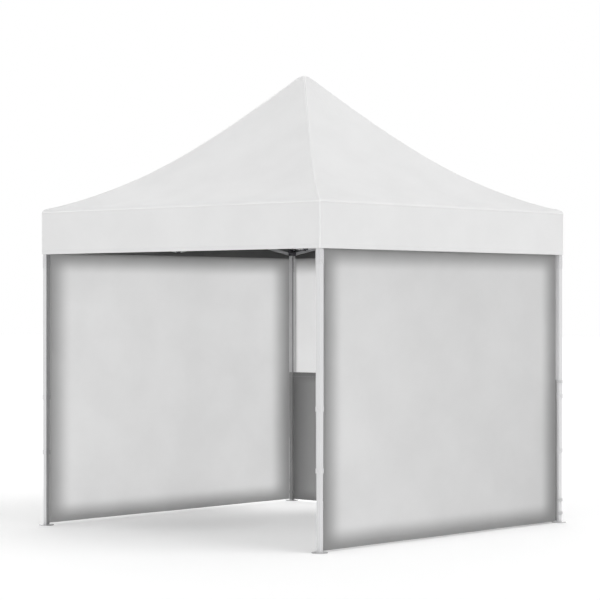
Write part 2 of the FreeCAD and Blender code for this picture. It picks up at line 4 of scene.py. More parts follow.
import bpy
import numpy as np
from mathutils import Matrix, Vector

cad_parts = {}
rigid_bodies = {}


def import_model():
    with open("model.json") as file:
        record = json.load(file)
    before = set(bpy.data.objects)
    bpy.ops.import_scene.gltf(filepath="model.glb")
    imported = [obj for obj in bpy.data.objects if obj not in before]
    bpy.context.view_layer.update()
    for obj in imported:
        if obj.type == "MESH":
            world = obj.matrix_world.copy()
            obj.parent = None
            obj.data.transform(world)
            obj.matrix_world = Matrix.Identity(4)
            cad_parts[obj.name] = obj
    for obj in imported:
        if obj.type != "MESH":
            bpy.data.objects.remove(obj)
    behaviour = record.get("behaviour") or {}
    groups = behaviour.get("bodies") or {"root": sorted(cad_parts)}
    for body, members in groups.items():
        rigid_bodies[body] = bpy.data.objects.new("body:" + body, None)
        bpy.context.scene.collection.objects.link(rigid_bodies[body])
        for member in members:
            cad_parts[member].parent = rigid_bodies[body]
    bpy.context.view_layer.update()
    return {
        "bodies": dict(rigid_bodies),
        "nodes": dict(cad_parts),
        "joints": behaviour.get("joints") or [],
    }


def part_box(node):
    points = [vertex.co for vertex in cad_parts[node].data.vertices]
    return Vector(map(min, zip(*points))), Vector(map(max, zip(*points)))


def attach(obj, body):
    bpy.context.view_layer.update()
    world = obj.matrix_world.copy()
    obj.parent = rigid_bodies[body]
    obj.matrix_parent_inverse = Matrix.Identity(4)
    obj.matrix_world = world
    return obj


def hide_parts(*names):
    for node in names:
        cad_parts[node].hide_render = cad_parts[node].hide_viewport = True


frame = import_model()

rng = np.random.default_rng(7)
scene = bpy.context.scene

SIDES = ("south", "east", "north", "west")
LEGS = ("se", "ne", "nw", "sw")
NODES = frame["nodes"]
BODIES = frame["bodies"]
joint = {j["name"]: j for j in frame["joints"]}

# ------------------------------------------------------------------ sizes, read from the imported frame, apart from the eave's height
c_lo, c_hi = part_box("canopy")
EAVE = c_hi.x                       # half width of the cloth over the eaves
VAL_Z, PEAK_Z = c_lo.z, c_hi.z
w_lo, w_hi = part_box("wall_south")
WALL_Z0, WALL_Z1 = w_lo.z, w_hi.z
WALL_SPAN = [(w_lo.x, w_hi.x), (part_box("wall_east")[0].y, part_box("wall_east")[1].y), (-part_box("wall_north")[1].x, -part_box("wall_north")[0].x)]
WALL_Y = -(w_lo.y + w_hi.y) / 2     # distance of a wall's sheet from the middle
t_lo, t_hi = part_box("leg_se_upper_tube")
LEG_C = joint["leg_se_head_pivot"]["pos_m"][0] + 0.044
HEAD_Z = t_hi.z
EAVE_Z = 2.477
h_lo, h_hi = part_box("half_wall_east")
HALF_Z0, HALF_Z1 = h_lo.z, h_hi.z

# the fold: how far the legs come in and the hub drops at the joint's limit
hub_j = joint["frame_fold"]
TOP_Z = hub_j["pos_m"][2]
LOW_Z = joint["south_lower_joiner_pivot"]["pos_m"][2]
RUN = abs(joint["south_lower_joiner_pivot"]["pos_m"][1] - hub_j["pos_m"][1])
SPAN = math.hypot(RUN, TOP_Z - LOW_Z)
A0 = math.atan2(TOP_Z - LOW_Z, RUN)
A1 = A0 + math.radians(hub_j["range_deg"][1])
DRAW = SPAN * (math.cos(A0) - math.cos(A1))     # each leg moves this far along X and along Y
DROP = SPAN * (math.sin(A1) - math.sin(A0))
LIFT = joint["leg_se_middle_slide"]["range_m"][1] + joint["leg_se_lower_slide"]["range_m"][1]
FOLD_C = LEG_C - DRAW                            # leg centre when folded
# when folded, the half wall slumps below the bars and brackets that come down inside the legs
SLUMP = min(float(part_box(n)[0][2]) for n in ("leg_se_slider", "leg_se_pull_pin", "east_lower_joiner", "east_truss_bar_1", "east_truss_bar_2")) - DROP - 0.008


# ------------------------------------------------------------------ small tools
def smooth(x):
    x = np.clip(x, 0.0, 1.0)
    return x * x * (3 - 2 * x)


def ease(x):
    """Between a straight ramp and a smooth one."""
    return 0.5 * (np.clip(x, 0, 1) + smooth(x))


def hermite(xs, ys, x):
    """Monotone cubic through points."""
    xs, ys, x = np.asarray(xs, float), np.asarray(ys, float), np.asarray(x, float)
    h = np.diff(xs)
    d = np.diff(ys) / h
    m = np.empty_like(xs)
    m[0], m[-1] = d[0], d[-1]
    for i in range(1, len(xs) - 1):
        m[i] = 0.0 if d[i - 1] * d[i] <= 0 else (h[i - 1] + h[i]) / (h[i] / d[i - 1] + h[i - 1] / d[i])
    i = np.clip(np.searchsorted(xs, x) - 1, 0, len(xs) - 2)
    t = (x - xs[i]) / h[i]
    a = 2 * t ** 3 - 3 * t ** 2 + 1
    b = t ** 3 - 2 * t ** 2 + t
    c = -2 * t ** 3 + 3 * t ** 2
    e = t ** 3 - t ** 2
    return a * ys[i] + b * h[i] * m[i] + c * ys[i + 1] + e * h[i] * m[i + 1]


def turn(p, k):
    """Quarter turns about Z."""
    p = np.array(p, float)
    for _ in range(k % 4):
        p = np.stack([-p[..., 1], p[..., 0], p[..., 2]], -1)
    return p


def mesh_object(name, verts, faces, uvs=None, attrs=None, smooth_shade=True):
    me = bpy.data.meshes.new(name)
    me.from_pydata([tuple(v) for v in np.asarray(verts, float).reshape(-1, 3)], [], [tuple(int(i) for i in f) for f in faces])
    me.update()
    if uvs is not None:
        layer = me.uv_layers.new(name="UVMap")
        idx = np.zeros(len(me.loops), np.int32)
        me.loops.foreach_get("vertex_index", idx)
        layer.data.foreach_set("uv", np.asarray(uvs, np.float32)[idx].ravel())
    for key, values in (attrs or {}).items():
        a = me.attributes.new(key, "FLOAT", "POINT")
        a.data.foreach_set("value", np.asarray(values, np.float32).ravel())
    if smooth_shade:
        me.polygons.foreach_set("use_smooth", np.ones(len(me.polygons), bool))
    ob = bpy.data.objects.new(name, me)
    scene.collection.objects.link(ob)
    return ob


def grid_faces(nu, nv, closed=False, base=0):
    """Quads of a grid stored row by row, nu points in a row and nv rows."""
    out = []
    for j in range(nv - 1):
        for i in range(nu if closed else nu - 1):
            a = base + j * nu + i
            b = base + j * nu + (i + 1) % nu
            out.append((a, b, b + nu, a + nu))
    return out


def key(ob, name, verts):
    if ob.data.shape_keys is None:
        ob.shape_key_add(name="Basis", from_mix=False)
    k = ob.shape_key_add(name=name, from_mix=False)
    k.data.foreach_set("co", np.asarray(verts, np.float32).ravel())
    k.slider_min, k.slider_max = 0.0, 1.0
    k.value = 0.0
    return k


def drive(k, body, axis, full):
    """The key follows how far a body has moved along axis, 1 at full metres."""
    d = k.driver_add("value").driver
    d.type = "SCRIPTED"
    v = d.variables.new()
    v.name = "q"
    v.type = "TRANSFORMS"
    v.targets[0].id = BODIES[body]
    v.targets[0].transform_type = "LOC_" + axis
    v.targets[0].transform_space = "WORLD_SPACE"
    d.expression = "q / (%.6f)" % full


def thick(ob, t, offset=-1.0):
    m = ob.modifiers.new("cloth thickness", "SOLIDIFY")
    m.thickness = t
    m.offset = offset
    m.use_even_offset = True
    m.use_quality_normals = True


def tube_along(path, radius, sides=8, closed=False, flat=1.0, up=None):
    """A swept tube as (verts, faces): path is n points, flat squeezes it along its second axis."""
    p = np.asarray(path, float)
    n = len(p)
    if closed:
        tan = np.roll(p, -1, 0) - np.roll(p, 1, 0)
    else:
        tan = np.gradient(p, axis=0)
    tan /= np.linalg.norm(tan, axis=1)[:, None] + 1e-12
    ref = np.array(up if up is not None else (0, 0, 1.0), float)
    ref = np.broadcast_to(ref, p.shape)
    a = np.cross(tan, ref)
    bad = np.linalg.norm(a, axis=1) < 1e-4
    a[bad] = np.cross(tan[bad], np.array([1.0, 0.3, 0.0]))
    a /= np.linalg.norm(a, axis=1)[:, None]
    b = np.cross(a, tan)
    ang = np.linspace(0, 2 * math.pi, sides, endpoint=False)
    ring = (a[:, None, :] * np.cos(ang)[None, :, None] + b[:, None, :] * (np.sin(ang) * flat)[None, :, None]) * radius
    v = (p[:, None, :] + ring).reshape(-1, 3)
    f = []
    for j in range(n if closed else n - 1):
        for i in range(sides):
            q = (i + 1) % sides
            jj = (j + 1) % n
            f.append((j * sides + i, j * sides + q, jj * sides + q, jj * sides + i))
    if not closed:
        f.append(tuple(range(sides))[::-1])
        f.append(tuple((n - 1) * sides + i for i in range(sides)))
    return v, f, ring.reshape(-1, 3)


# ------------------------------------------------------------------ materials
def new_material(name):
    m = bpy.data.materials.new(name)
    m.use_nodes = True
    nt = m.node_tree
    nt.nodes.clear()
    out = nt.nodes.new("ShaderNodeOutputMaterial")
    bsdf = nt.nodes.new("ShaderNodeBsdfPrincipled")
    nt.links.new(bsdf.outputs[0], out.inputs[0])
    return m, nt, bsdf


def nd(nt, kind, **props):
    n = nt.nodes.new(kind)
    for k, v in props.items():
        setattr(n, k, v)
    return n


def math_node(nt, op, a, b=None, clamp=False):
    n = nd(nt, "ShaderNodeMath", operation=op, use_clamp=clamp)
    for i, x in enumerate((a, b)):
        if x is None:
            continue
        if isinstance(x, (int, float)):
            n.inputs[i].default_value = x
        else:
            nt.links.new(x, n.inputs[i])
    return n.outputs[0]


def mix_colour(nt, fac, a, b, blend="MIX"):
    n = nd(nt, "ShaderNodeMix", data_type="RGBA", blend_type=blend)
    for sock, x in ((n.inputs[0], fac), (n.inputs[6], a), (n.inputs[7], b)):
        if isinstance(x, (int, float)):
            sock.default_value = x
        elif isinstance(x, tuple):
            sock.default_value = (*x, 1.0)
        else:
            nt.links.new(x, sock)
    return n.outputs[2]


def noise(nt, vec, scale, detail=3.0, rough=0.5):
    n = nd(nt, "ShaderNodeTexNoise")
    n.inputs["Scale"].default_value = scale
    n.inputs["Detail"].default_value = detail
    n.inputs["Roughness"].default_value = rough
    nt.links.new(vec, n.inputs["Vector"])
    return n.outputs["Fac"]


def ramp(nt, fac, lo, hi, a=0.0, b=1.0):
    n = nd(nt, "ShaderNodeMapRange", clamp=True, interpolation_type="SMOOTHSTEP")
    nt.links.new(fac, n.inputs[0])
    for i, v in zip((1, 2, 3, 4), (lo, hi, a, b)):
        n.inputs[i].default_value = v
    return n.outputs[0]


def cloth_material(name, tint, weave=0.0022, edge=False, painted_edge_shade_tint=0.44, rough=0.62, sheen=0.15, seams=True, through=0.3):
    """Coated woven polyester: a plain weave, faint packing creases and cloudy tone, with stitching where the mesh marks it.
    UV is in metres, so the weave's scale doesn't depend on the mesh."""
    m, nt, bsdf = new_material(name)
    uv = nd(nt, "ShaderNodeUVMap", uv_map="UVMap").outputs[0]
    sep = nd(nt, "ShaderNodeSeparateXYZ")
    nt.links.new(uv, sep.inputs[0])
    u, v = sep.outputs[0], sep.outputs[1]
    # plain weave: threads pass over and under each other
    k = 2 * math.pi / weave
    su = math_node(nt, "SINE", math_node(nt, "MULTIPLY", u, k))
    sv = math_node(nt, "SINE", math_node(nt, "MULTIPLY", v, k))
    weave_h = math_node(nt, "MULTIPLY", su, sv)
    # ripstop: a slightly heavier thread every 8 mm each way
    def rib(x):
        s = math_node(nt, "SINE", math_node(nt, "MULTIPLY", x, math.pi / 0.008))
        return ramp(nt, math_node(nt, "ABSOLUTE", s), 0.0, 0.16, 1.0, 0.0)
    ribs = math_node(nt, "MAXIMUM", rib(u), rib(v))
    cloud = noise(nt, uv, 2.2, 4.0, 0.55)
    slub = noise(nt, uv, 160.0, 2.0, 0.6)
    crease = noise(nt, uv, 3.4, 5.0, 0.6)
    base = mix_colour(nt, ramp(nt, cloud, 0.25, 0.75), tuple(0.972 * c for c in tint), tuple(min(1.0, 1.012 * c) for c in tint))
    base = mix_colour(nt, math_node(nt, "MULTIPLY", ramp(nt, slub, 0.3, 0.8), 0.05), base, tuple(0.86 * c for c in tint))
    base = mix_colour(nt, math_node(nt, "MULTIPLY", ribs, 0.05), base, tuple(0.90 * c for c in tint))
    if edge:
        # painted shade: the edge attribute darkens the cloth's colour towards its tint near the sides, top and foot, as
        # if shaded there
        at = nd(nt, "ShaderNodeAttribute", attribute_name="edge")
        painted_edge_shade = mix_colour(nt, at.outputs["Fac"], tuple([painted_edge_shade_tint] * 3), (1.0, 1.0, 1.0))
        # painted shade: where the attribute is negative the colour goes down to 0.30, for the shade behind the valance
        painted_edge_shade = mix_colour(nt, math_node(nt, "MULTIPLY", at.outputs["Fac"], -1.0, clamp=True), painted_edge_shade, tuple([0.30] * 3))
        base = mix_colour(nt, 1.0, base, painted_edge_shade, "MULTIPLY")
    # stitching: the mesh's "seam" attribute rises to 1 on a seam's sewn lines
    if seams:
        st = nd(nt, "ShaderNodeAttribute", attribute_name="seam")
        seam = st.outputs["Fac"]
        dash = ramp(nt, math_node(nt, "SINE", math_node(nt, "MULTIPLY", math_node(nt, "ADD", u, v), 2 * math.pi / 0.006)), -0.2, 0.3)
        thread = math_node(nt, "MULTIPLY", ramp(nt, seam, 0.80, 0.97), dash)
        base = mix_colour(nt, math_node(nt, "MULTIPLY", ramp(nt, seam, 0.3, 0.9), 0.07), base, (0.45, 0.45, 0.46))
        base = mix_colour(nt, math_node(nt, "MULTIPLY", thread, 0.35), base, (0.97, 0.97, 0.97))
    nt.links.new(base, bsdf.inputs["Base Color"])
    r = math_node(nt, "ADD", math_node(nt, "MULTIPLY", slub, 0.12), rough - 0.06)
    nt.links.new(r, bsdf.inputs["Roughness"])
    bsdf.inputs["Specular IOR Level"].default_value = 0.28
    bsdf.inputs["Sheen Weight"].default_value = sheen
    bsdf.inputs["Sheen Roughness"].default_value = 0.5
    b1 = nd(nt, "ShaderNodeBump")
    b1.inputs["Strength"].default_value = 0.35
    b1.inputs["Distance"].default_value = 0.0003
    height = math_node(nt, "ADD", weave_h, math_node(nt, "MULTIPLY", ribs, 1.1))
    nt.links.new(height, b1.inputs["Height"])
    b2 = nd(nt, "ShaderNodeBump")
    b2.inputs["Strength"].default_value = 0.28
    b2.inputs["Distance"].default_value = 0.006
    nt.links.new(crease, b2.inputs["Height"])
    nt.links.new(b1.outputs[0], b2.inputs["Normal"])
    if seams:
        b3 = nd(nt, "ShaderNodeBump")
        b3.inputs["Strength"].default_value = 0.6
        b3.inputs["Distance"].default_value = 0.0008
        b3.invert = True
        nt.links.new(math_node(nt, "SUBTRACT", seam, math_node(nt, "MULTIPLY", thread, 0.8)), b3.inputs["Height"])
        nt.links.new(b2.outputs[0], b3.inputs["Normal"])
        nt.links.new(b3.outputs[0], bsdf.inputs["Normal"])
    else:
        nt.links.new(b2.outputs[0], bsdf.inputs["Normal"])
    # thin cloth lets light through
    if through > 0:
        tr = nd(nt, "ShaderNodeBsdfTranslucent")
        nt.links.new(base, tr.inputs["Color"])
        mx = nd(nt, "ShaderNodeMixShader")
        mx.inputs[0].default_value = through
        out = next(n for n in nt.nodes if n.type == "OUTPUT_MATERIAL")
        nt.links.new(bsdf.outputs[0], mx.inputs[1])
        nt.links.new(tr.outputs[0], mx.inputs[2])
        nt.links.new(mx.outputs[0], out.inputs[0])
    return m


def object_coords(nt):
    return nd(nt, "ShaderNodeTexCoord").outputs["Object"]


def rounded_normal(nt, radius=0.0012):
    n = nd(nt, "ShaderNodeBevel", samples=4)
    n.inputs["Radius"].default_value = radius
    return n.outputs[0]


def shaded_inside(nt, base):
    """The faces of the two north legs that look into the shelter are in its shade."""
    at = nd(nt, "ShaderNodeSeparateXYZ")
    nt.links.new(object_coords(nt), at.inputs[0])
    facing = nd(nt, "ShaderNodeSeparateXYZ")
    nt.links.new(nd(nt, "ShaderNodeNewGeometry").outputs["True Normal"], facing.inputs[0])
    south = ramp(nt, facing.outputs[1], -0.9, -0.6, 1.0, 0.0)
    north_leg = ramp(nt, at.outputs[1], 1.0, 1.1)
    reach = ramp(nt, at.outputs[0], LEG_C - 0.0055, LEG_C - 0.0025, 1.0, 0.0)
    shade = math_node(nt, "MULTIPLY", math_node(nt, "MULTIPLY", south, north_leg), reach)
    return mix_colour(nt, math_node(nt, "MULTIPLY", shade, 0.58), base, (0.0, 0.0, 0.0))


def metal_paint(name, tint, head_z=None, plate_z=None):
    """Pale powder coat: orange peel, faint rub marks round the edges, moulded nylon above head_z, where the leg head is,
    and bare galvanised steel below plate_z, where the foot plate is."""
    m, nt, bsdf = new_material(name)
    co = object_coords(nt)
    peel = noise(nt, co, 900.0, 2.0, 0.5)
    cloud = noise(nt, co, 6.0, 3.0, 0.5)
    rub = noise(nt, co, 60.0, 5.0, 0.65)
    # long rub marks up and down the tube, where the slider and the stages run
    stretch = nd(nt, "ShaderNodeMapping")
    stretch.inputs["Scale"].default_value = (1.0, 1.0, 0.02)
    nt.links.new(co, stretch.inputs[0])
    scuff = noise(nt, stretch.outputs[0], 420.0, 3.0, 0.6)
    base = mix_colour(nt, ramp(nt, cloud, 0.3, 0.7), tuple(0.96 * c for c in tint), tint)
    base = mix_colour(nt, math_node(nt, "MULTIPLY", ramp(nt, rub, 0.60, 0.75), 0.12), base, tuple(0.75 * c for c in tint))
    base = mix_colour(nt, math_node(nt, "MULTIPLY", ramp(nt, scuff, 0.62, 0.78), 0.18), base, tuple(0.80 * c for c in tint))
    geo = nd(nt, "ShaderNodeNewGeometry")
    edge = ramp(nt, geo.outputs["Pointiness"], 0.52, 0.60)
    base = mix_colour(nt, math_node(nt, "MULTIPLY", edge, 0.35), base, (0.66, 0.66, 0.67))
    rough = math_node(nt, "ADD", math_node(nt, "MULTIPLY", scuff, 0.22), 0.28)
    if head_z is not None:
        sep = nd(nt, "ShaderNodeSeparateXYZ")
        nt.links.new(co, sep.inputs[0])
        top = ramp(nt, sep.outputs[2], head_z - 0.0005, head_z + 0.0005)
        base = mix_colour(nt, top, base, (0.035, 0.035, 0.038))
        rough = math_node(nt, "ADD", rough, math_node(nt, "MULTIPLY", top, 0.15))
    if plate_z is not None:
        sep = nd(nt, "ShaderNodeSeparateXYZ")
        nt.links.new(co, sep.inputs[0])
        low = ramp(nt, sep.outputs[2], plate_z - 0.0003, plate_z + 0.0003, 1.0, 0.0)
        spangle = nd(nt, "ShaderNodeTexVoronoi")
        spangle.inputs["Scale"].default_value = 260.0
        nt.links.new(co, spangle.inputs["Vector"])
        zinc = mix_colour(nt, spangle.outputs["Color"], (0.44, 0.44, 0.445), (0.51, 0.51, 0.515))
        base = mix_colour(nt, low, base, zinc)
    nt.links.new(shaded_inside(nt, base), bsdf.inputs["Base Color"])
    nt.links.new(rough, bsdf.inputs["Roughness"])
    bsdf.inputs["Metallic"].default_value = 0.0
    bsdf.inputs["Coat Weight"].default_value = 0.12
    bsdf.inputs["Coat Roughness"].default_value = 0.25
    b = nd(nt, "ShaderNodeBump")
    b.inputs["Strength"].default_value = 0.18
    b.inputs["Distance"].default_value = 0.0002
    nt.links.new(peel, b.inputs["Height"])
    nt.links.new(rounded_normal(nt), b.inputs["Normal"])
    nt.links.new(b.outputs[0], bsdf.inputs["Normal"])
    return m


def bar_metal(name):
    """Satin aluminium tube, drawn lengthwise: fine lines along the bar."""
    m, nt, bsdf = new_material(name)
    co = object_coords(nt)
    fine = noise(nt, co, 700.0, 3.0, 0.6)
    cloud = noise(nt, co, 9.0, 4.0, 0.6)
    scratch = nd(nt, "ShaderNodeTexWave", wave_type="BANDS", bands_direction="Z")
    scratch.inputs["Scale"].default_value = 260.0
    scratch.inputs["Distortion"].default_value = 6.0
    scratch.inputs["Detail"].default_value = 3.0
    scratch.inputs["Detail Scale"].default_value = 2.0
    nt.links.new(co, scratch.inputs["Vector"])
    base = mix_colour(nt, ramp(nt, cloud, 0.3, 0.7), (0.60, 0.60, 0.61), (0.72, 0.72, 0.73))
    base = mix_colour(nt, math_node(nt, "MULTIPLY", scratch.outputs["Fac"], 0.15), base, (0.50, 0.50, 0.51))
    nt.links.new(base, bsdf.inputs["Base Color"])
    bsdf.inputs["Metallic"].default_value = 0.75
    nt.links.new(math_node(nt, "ADD", math_node(nt, "MULTIPLY", fine, 0.18), 0.34), bsdf.inputs["Roughness"])
    b = nd(nt, "ShaderNodeBump")
    b.inputs["Strength"].default_value = 0.12
    b.inputs["Distance"].default_value = 0.0002
    nt.links.new(math_node(nt, "ADD", fine, scratch.outputs["Fac"]), b.inputs["Height"])
    nt.links.new(rounded_normal(nt), b.inputs["Normal"])
    nt.links.new(b.outputs[0], bsdf.inputs["Normal"])
    return m


def nylon(name, tint=(0.032, 0.032, 0.035)):
    """Glass-filled nylon: fine spark-eroded grain, slightly paler along rubbed edges."""
    m, nt, bsdf = new_material(name)
    co = object_coords(nt)
    grain = noise(nt, co, 1500.0, 2.0, 0.6)
    cloud = noise(nt, co, 30.0, 3.0, 0.5)
    base = mix_colour(nt, ramp(nt, cloud, 0.3, 0.7), tint, tuple(1.7 * c for c in tint))
    geo = nd(nt, "ShaderNodeNewGeometry")
    base = mix_colour(nt, math_node(nt, "MULTIPLY", ramp(nt, geo.outputs["Pointiness"], 0.52, 0.62), 0.5), base, tuple(4.0 * c for c in tint))
    nt.links.new(base, bsdf.inputs["Base Color"])
    nt.links.new(math_node(nt, "ADD", math_node(nt, "MULTIPLY", grain, 0.2), 0.42), bsdf.inputs["Roughness"])
    b = nd(nt, "ShaderNodeBump")
    b.inputs["Strength"].default_value = 0.3
    b.inputs["Distance"].default_value = 0.00015
    nt.links.new(grain, b.inputs["Height"])
    nt.links.new(rounded_normal(nt, 0.0015), b.inputs["Normal"])
    nt.links.new(b.outputs[0], bsdf.inputs["Normal"])
    return m


def steel(name):
    """Zinc plate: spangled tone and a soft shine."""
    m, nt, bsdf = new_material(name)
    co = object_coords(nt)
    sp = nd(nt, "ShaderNodeTexVoronoi", feature="F1")
    sp.inputs["Scale"].default_value = 500.0
    nt.links.new(co, sp.inputs["Vector"])
    fine = noise(nt, co, 1200.0, 3.0, 0.6)
    base = mix_colour(nt, sp.outputs["Distance"], (0.52, 0.52, 0.54), (0.72, 0.72, 0.73))
    nt.links.new(base, bsdf.inputs["Base Color"])
    bsdf.inputs["Metallic"].default_value = 0.95
    nt.links.new(math_node(nt, "ADD", math_node(nt, "MULTIPLY", fine, 0.2), 0.22), bsdf.inputs["Roughness"])
    b = nd(nt, "ShaderNodeBump")
    b.inputs["Strength"].default_value = 0.15
    b.inputs["Distance"].default_value = 0.0002
    nt.links.new(fine, b.inputs["Height"])
    nt.links.new(rounded_normal(nt, 0.0008), b.inputs["Normal"])
    nt.links.new(b.outputs[0], bsdf.inputs["Normal"])
    return m


def webbing(name, tint=(0.70, 0.70, 0.71)):
    """Woven strap: a herringbone rib across its width."""
    m, nt, bsdf = new_material(name)
    uv = nd(nt, "ShaderNodeUVMap", uv_map="UVMap").outputs[0]
    sep = nd(nt, "ShaderNodeSeparateXYZ")
    nt.links.new(uv, sep.inputs[0])
    u, v = sep.outputs[0], sep.outputs[1]
    zig = math_node(nt, "ABSOLUTE", math_node(nt, "SUBTRACT", math_node(nt, "FRACT", math_node(nt, "MULTIPLY", v, 1 / 0.006)), 0.5))
    rib = math_node(nt, "SINE", math_node(nt, "MULTIPLY", math_node(nt, "ADD", u, math_node(nt, "MULTIPLY", zig, 0.004)), 2 * math.pi / 0.0022))
    fuzz = noise(nt, uv, 900.0, 3.0, 0.6)
    base = mix_colour(nt, ramp(nt, rib, -1.0, 1.0), tuple(0.80 * c for c in tint), tint)
    base = mix_colour(nt, math_node(nt, "MULTIPLY", fuzz, 0.2), base, tuple(0.7 * c for c in tint))
    nt.links.new(shaded_inside(nt, base), bsdf.inputs["Base Color"])
    bsdf.inputs["Roughness"].default_value = 0.8
    bsdf.inputs["Sheen Weight"].default_value = 0.3
    b = nd(nt, "ShaderNodeBump")
    b.inputs["Strength"].default_value = 0.6
    b.inputs["Distance"].default_value = 0.0004
    nt.links.new(rib, b.inputs["Height"])
    nt.links.new(b.outputs[0], bsdf.inputs["Normal"])
    return m


ROOF_CLOTH = cloth_material("roof cloth", (0.89, 0.89, 0.89), through=0.24)
VAL_CLOTH = cloth_material("valance cloth", (0.80, 0.80, 0.80), through=0.12)
TAPE = cloth_material("seam tape", (0.86, 0.86, 0.86), weave=0.0016, through=0.0)
WALL_CLOTH = cloth_material("wall cloth", (0.91, 0.91, 0.91), edge=True, painted_edge_shade_tint=0.58, through=0.72)
# painted shade: the half wall's cloth is given a dark grey, standing in for the shade inside the shelter where it
# hangs, with a painted edge shade as well
HALF_CLOTH = cloth_material("half wall cloth", (0.34, 0.34, 0.34), edge=True, painted_edge_shade_tint=0.62, through=0.1)
WEB = webbing("webbing")
HALF_WEB = webbing("half wall webbing", (0.64, 0.64, 0.645))
LEG_PAINT = metal_paint("leg powder coat", (0.64, 0.64, 0.645), head_z=2.4195)
LOWER_PAINT = metal_paint("lower leg powder coat", (0.64, 0.64, 0.645), plate_z=0.0066)
BAR = bar_metal("bar aluminium")
NYLON = nylon("black nylon")
STEEL = steel("zinc plate")

for n, o in NODES.items():
    if "bar_" in n:
        mat = BAR
    elif "joiner" in n or "slider" in n or "hub" in n:
        mat = NYLON
    elif "pull_pin" in n:
        mat = STEEL
    elif "upper_tube" in n:
        mat = LEG_PAINT
    else:
        mat = LOWER_PAINT
    o.data.materials.clear() if not o.material_slots else None
    if not o.material_slots:
        o.data.materials.append(mat)
    for s in o.material_slots:
        s.material = mat


# ------------------------------------------------------------------ roof
ROOF_T = [0.0, 0.022, 0.050, 0.100, 0.200, 0.300, 0.400, 0.500, 0.600, 0.700, 0.800, 0.900, 1.000, 1.100, 1.200, 1.300, 1.380, 1.440, 1.466, 1.473]
ROOF_Z = [3.572, 3.565, 3.541, 3.489, 3.386, 3.285, 3.187, 3.093, 3.003, 2.918, 2.840, 2.769, 2.706, 2.650, 2.599, 2.555, 2.525, 2.504, 2.492, 2.477]
CORNER = 0.0065        # rounding of the cloth at the corners of the eave


def roof_point(u, t, lift=0.0):
    """A point of the south roof panel: u runs -1 to 1 along the eave, t is the distance out from the peak."""
    z = hermite(ROOF_T, ROOF_Z, t)
    v = t / EAVE
    # the panel hangs a little between its ridges, and pulls from its corners
    sag = 0.020 * (1 - u * u) ** 1.2 * np.sin(np.pi * np.clip(v, 0, 1)) ** 1.3
    x = u * t
    for s in (-1.0, 1.0):
        dx, dy = x - s * EAVE, t - EAVE
        d = np.hypot(dx, dy)
        ang = np.arctan2(-dy, -s * dx)           # 0 along the eave, 45 degrees along the ridge
        fan = np.sin(ang * 26.0 + s) * np.exp(-((ang - 0.42) / 0.28) ** 2)
        sag = sag + 0.0016 * fan * np.exp(-d / 0.42) * smooth(d / 0.05)
    a = np.arctan2(x, t)
    sag = sag + 0.0012 * np.sin(a * 34.0) * np.exp(-t / 0.28) * smooth(t / 0.06) * (1 - np.abs(u) ** 4)
    # the truss top shows through as a soft shoulder above the eave
    sag = sag - 0.004 * np.exp(-((t - (LEG_C - 0.012)) / 0.012) ** 2)
    return np.stack([x, -t, z - sag + lift], -1)


FOLD_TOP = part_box("upper_hub")[1].z + 0.010          # the cloth lies over the hub when the frame is shut
OVER, TURN = 0.10, 0.56                             # shares of the panel that lie over the top, and end at the bottom of the loop


def fold_roof(u, t, lift=0.0):
    """The same point when the frame is shut: the cloth lies over the top of the frame, then hangs outside the legs in a loop, down and back up to the eave."""
    v = np.clip(t / EAVE, 0, 1)
    half = FOLD_C + 0.026
    mid = 1 - u * u
    env = 1 - u ** 8                                # pleats and waves die out at the ridges, so that neighbouring panels meet
    q = np.minimum((v - OVER) / (TURN - OVER), (1 - v) / (1 - TURN))
    q = np.maximum(0.0, 1.03 - np.sqrt((1 - q) ** 2 + 0.03 ** 2) - 0.03 * smooth(q * 4) - 0.03 * (1 - smooth(q * 4)))
    deep = 0.60 + 0.12 * mid + (0.035 * np.sin(4.2 * u + 1.0) + 0.012 * np.sin(13.0 * u)) * env
    out = np.interp(v, [0, OVER, OVER + 0.03, 0.30, TURN - 0.05, TURN, TURN + 0.05, 0.93, 0.975, 1.0],
                    [0, 0.006, 0.050, 0.082, 0.104, 0.088, 0.064, 0.046, 0.032, 0.0])
    swing = np.interp(v, [0, OVER, OVER + 0.08, TURN, 0.93, 1.0], [0, 0, 0.010, 0.021, 0.013, 0.0])
    ph = 9 * np.pi * u + 0.5 * np.sin(3.1 * u + 2.0 * v)
    fold = swing * (0.5 + 0.5 * np.cos(ph)) * env
    b = half * np.minimum(1.0, v / OVER)
    out = out * (1 - 0.30 * u ** 4)
    x = u * (b + out) + 0.006 * np.sin(2 * ph) * q * env
    y = -(b + out + fold)
    eave = smooth((v - OVER * 0.4) / (OVER * 0.6))
    z = FOLD_TOP * (1 - eave) + (EAVE_Z + 0.004 * (1 - v)) * eave - deep * q
    return np.stack([x, y, z + lift], -1)


